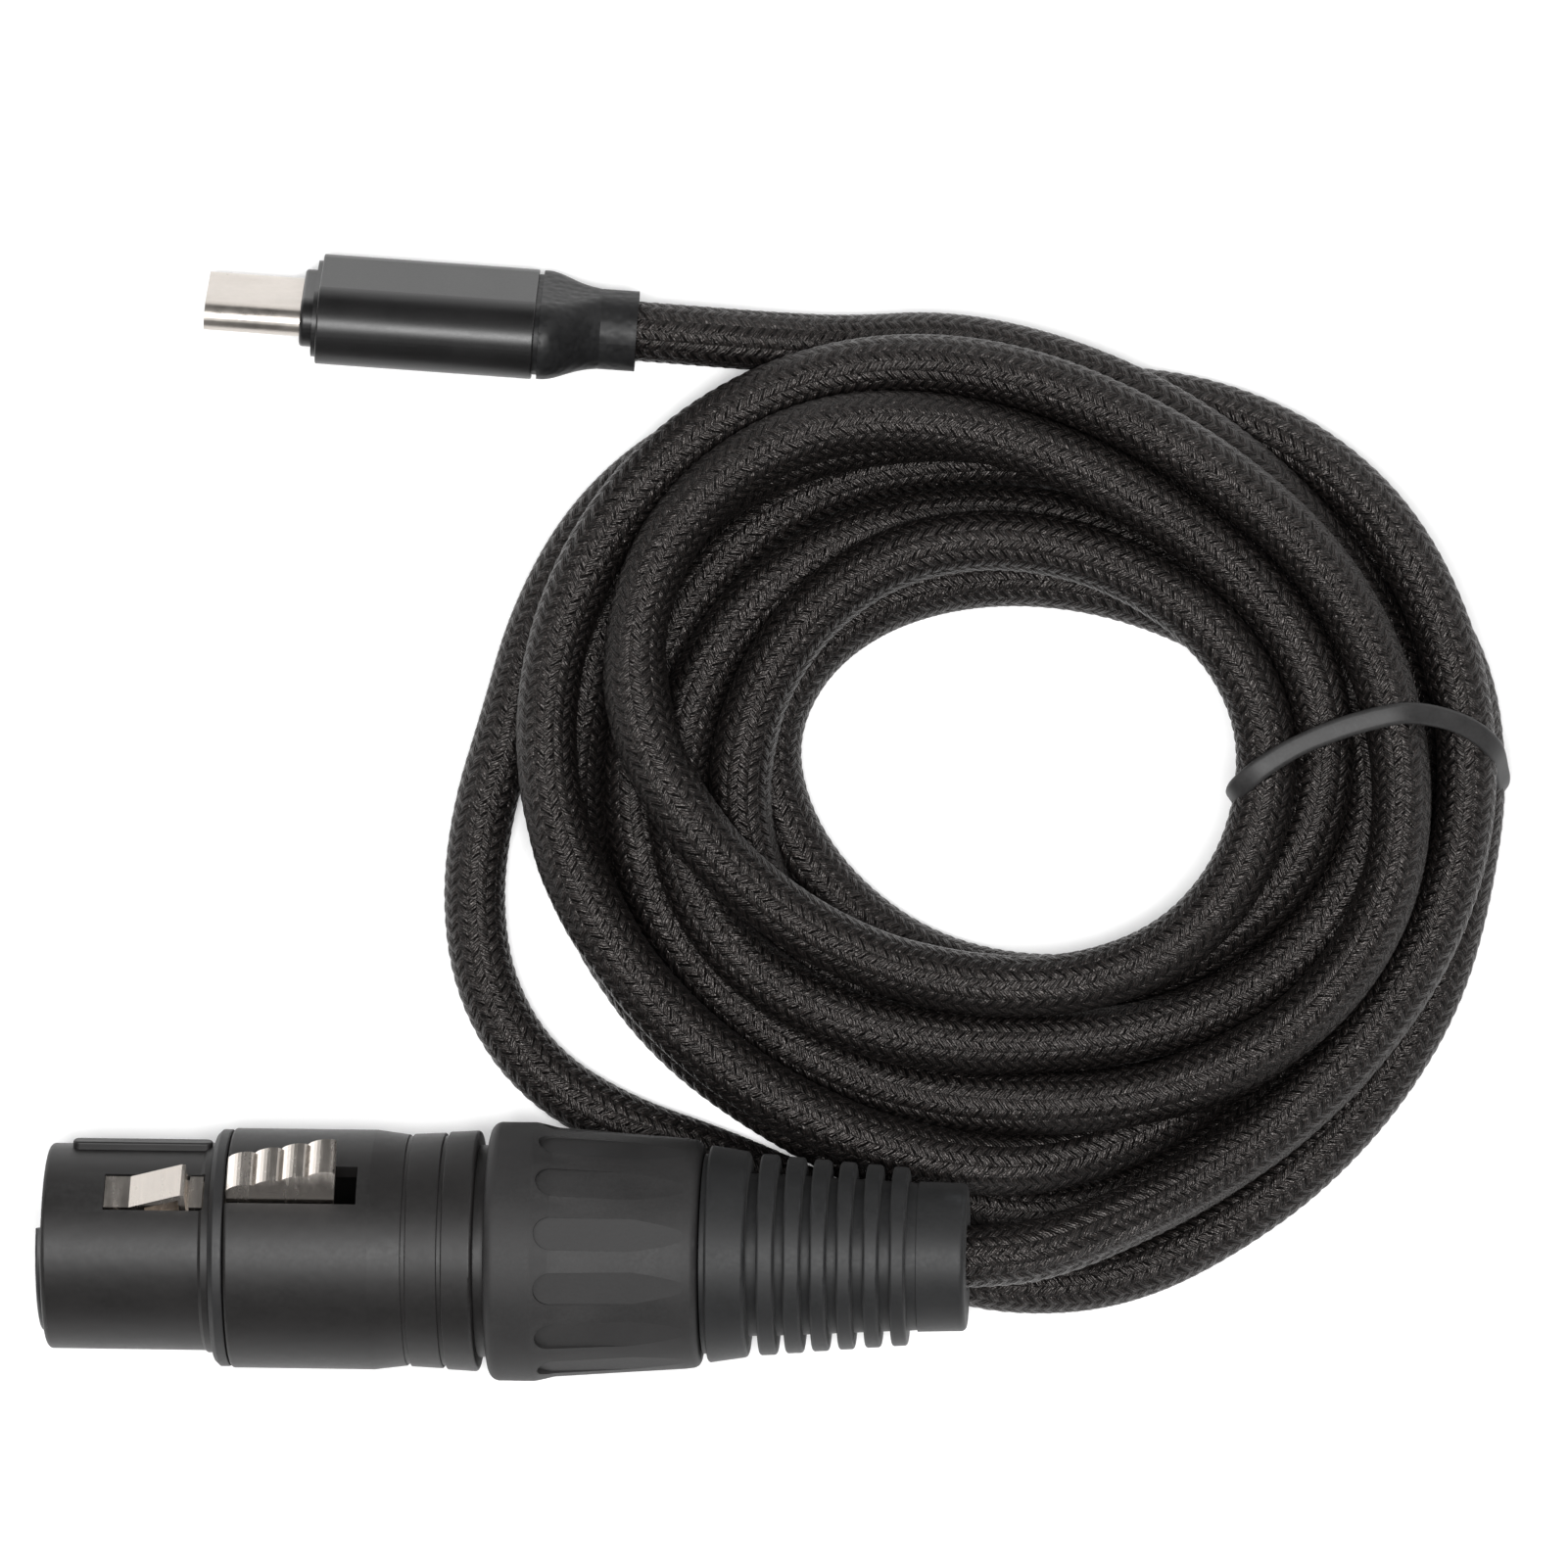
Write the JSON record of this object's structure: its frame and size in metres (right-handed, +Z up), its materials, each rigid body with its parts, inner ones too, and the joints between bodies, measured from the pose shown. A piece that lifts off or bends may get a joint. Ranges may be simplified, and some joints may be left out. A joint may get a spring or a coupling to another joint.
{
  "type": "microphone cable coil",
  "caption": "Braided microphone cable in a loose tied coil, with a latching three-pole female cable connector on one end and a USB type C plug on the other.",
  "frame": {"origin": "on the floor under the middle of the cable connector's bounding box", "axes": "+X along the cable connector from its mating face towards the cord, +Z up, +Y across towards the coil and the USB plug; the connector is tilted 3 degrees nose down, as it lies on its shell edge and on the cord"},
  "size_m": [0.12, 0.0894, 0.0221],
  "materials": {
    "black_shell": "satin black lacquer with a fine orange peel",
    "seal_rubber": "matte",
    "insert_plastic": "matte glass-filled plastic",
    "contact_plating": "bright plated",
    "wire_insulation": "satin",
    "latch_nickel": "warm satin nickel",
    "chuck_plastic": "matte",
    "nut_plastic": "matte moulded plastic",
    "boot_rubber": "matte elastomer",
    "usb_nickel": "satin nickel",
    "usb_plastic": "matte",
    "usb_anodised": "black anodised, fine blasted",
    "usb_relief": "fine textured elastomer",
    "board": "solder mask",
    "cord_braid": "black braided textile",
    "tie_rubber": "matte"
  },
  "bodies": {
    "cable": {"xlr_shell": "black_shell", "front_seal_ring": "seal_rubber", "contact_insert": "insert_plastic", "contact_one": "contact_plating", "contact_two": "contact_plating", "contact_three": "contact_plating", "signal_wires": "wire_insulation", "shield_contact": "contact_plating", "latch_pin": "latch_nickel", "cable_chuck": "chuck_plastic", "clamp_nut": "nut_plastic", "strain_relief_boot": "boot_rubber", "cord_clamped_end": "cord_braid", "usb_plug_shell": "usb_nickel", "usb_contact_carrier": "usb_plastic", "usb_contacts": "contact_plating", "usb_front_collar": "usb_plastic", "usb_housing": "usb_anodised", "usb_strain_relief": "usb_relief", "usb_circuit_board": "board", "converter_chip": "usb_plastic", "board_capacitors": "contact_plating", "cord_coil": "cord_braid", "cord_tie": "tie_rubber", "cord_lead_xlr": "cord_braid", "cord_lead_usb": "cord_braid", "cord_loose_turn": "cord_braid"},
    "latch": {"latch_tongue": "latch_nickel", "latch_button": "latch_nickel"}
  },
  "joints": [
    {"name": "latch_press", "type": "hinge", "parent": "cable", "child": "latch", "pos_m": [-0.03053, 0.0039, 0.01465], "axis": [0.0325, 0.8251, -0.564], "range_deg": [0, 10], "stiffness_Nm_per_rad": 0.12, "springref_deg": -2.86}
  ]
}
